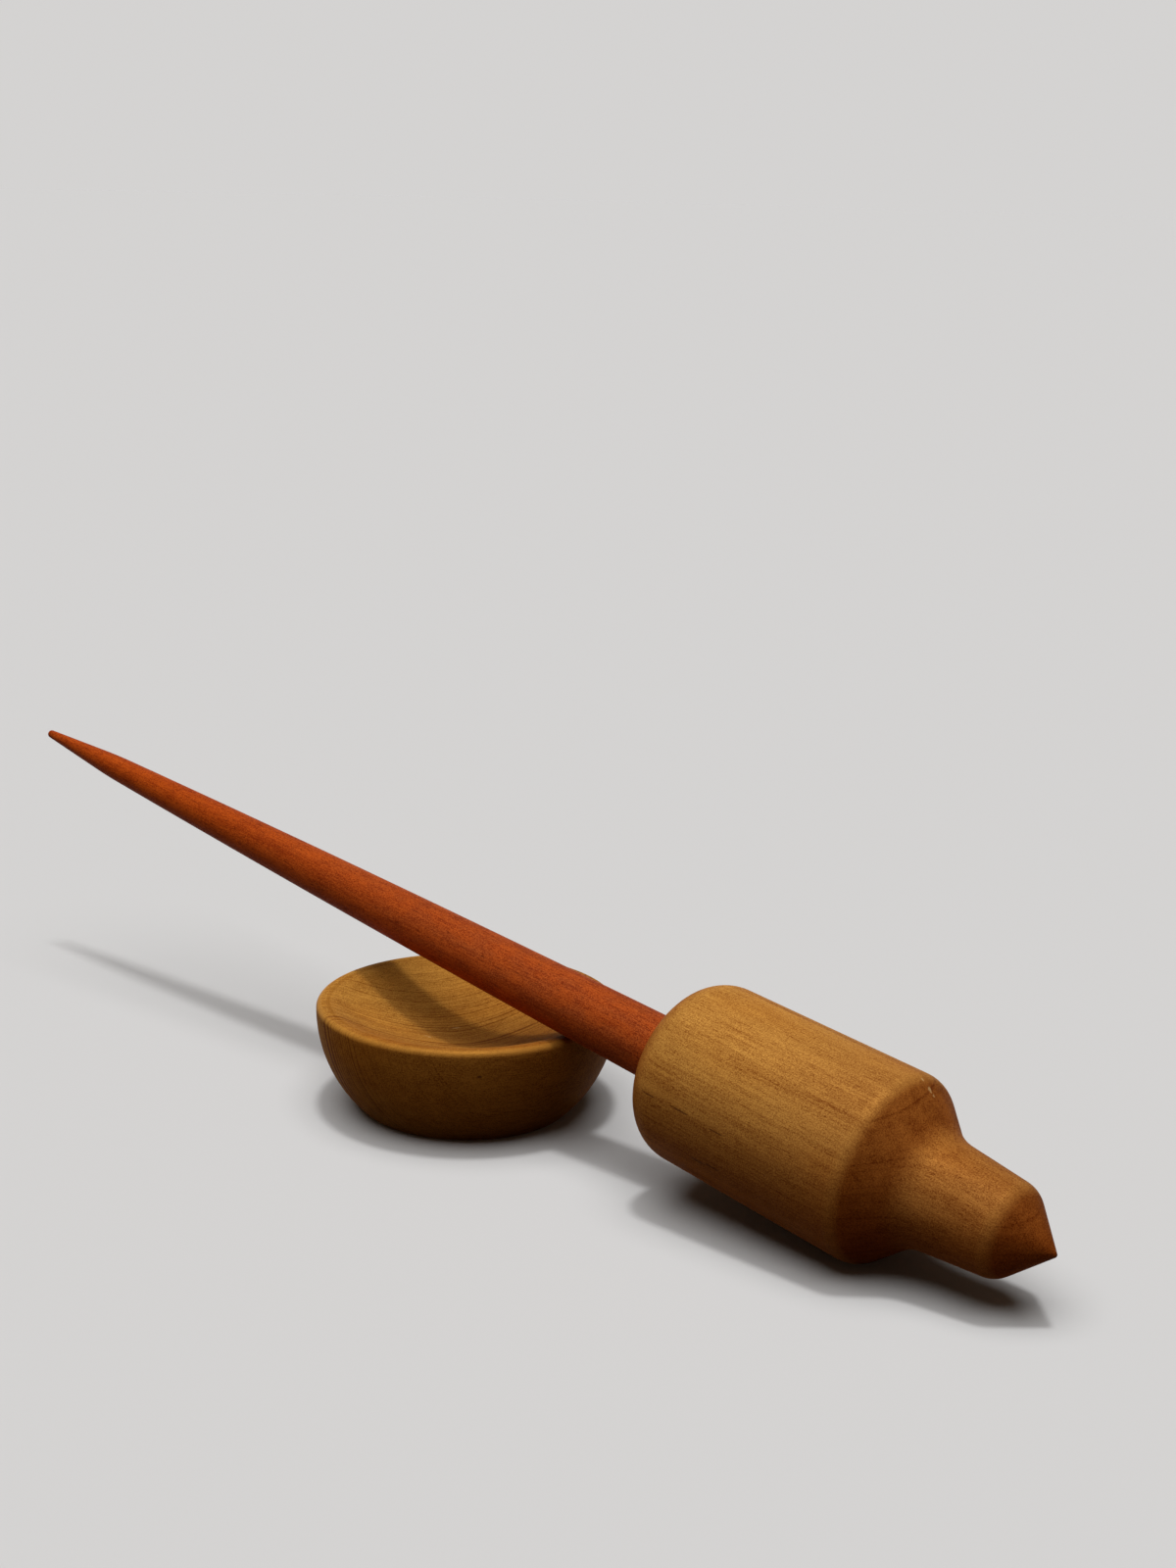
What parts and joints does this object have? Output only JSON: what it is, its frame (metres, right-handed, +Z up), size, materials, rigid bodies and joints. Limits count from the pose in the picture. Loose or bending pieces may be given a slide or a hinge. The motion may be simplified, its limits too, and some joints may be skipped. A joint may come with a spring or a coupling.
{
  "type": "support spindle",
  "caption": "Turned support spindle: a tapered stick in a barrel whorl with a pointed nose, leaning on the shallow bowl that its nose spins in.",
  "frame": {"origin": "middle of the flat foot of the bowl, on the table", "axes": "+Z up; +X level, from the bowl towards the nose of the spindle, which leans in the plane y = 0"},
  "size_m": [0.2912, 0.0626, 0.0546],
  "materials": {
    "red_wood": "oiled, satin, fine dark pores along the grain",
    "pale_wood": "oiled, satin, fine straight grain"
  },
  "bodies": {
    "bowl": {"bowl": "pale_wood"},
    "spindle": {"shaft": "red_wood", "whorl": "pale_wood"}
  },
  "joints": [
    {"name": "spindle_spin", "type": "hinge", "parent": "bowl", "child": "spindle", "pos_m": [0.14355, 0, 0.01323], "axis": [-0.9905, 0, 0.1377], "continuous": true}
  ]
}
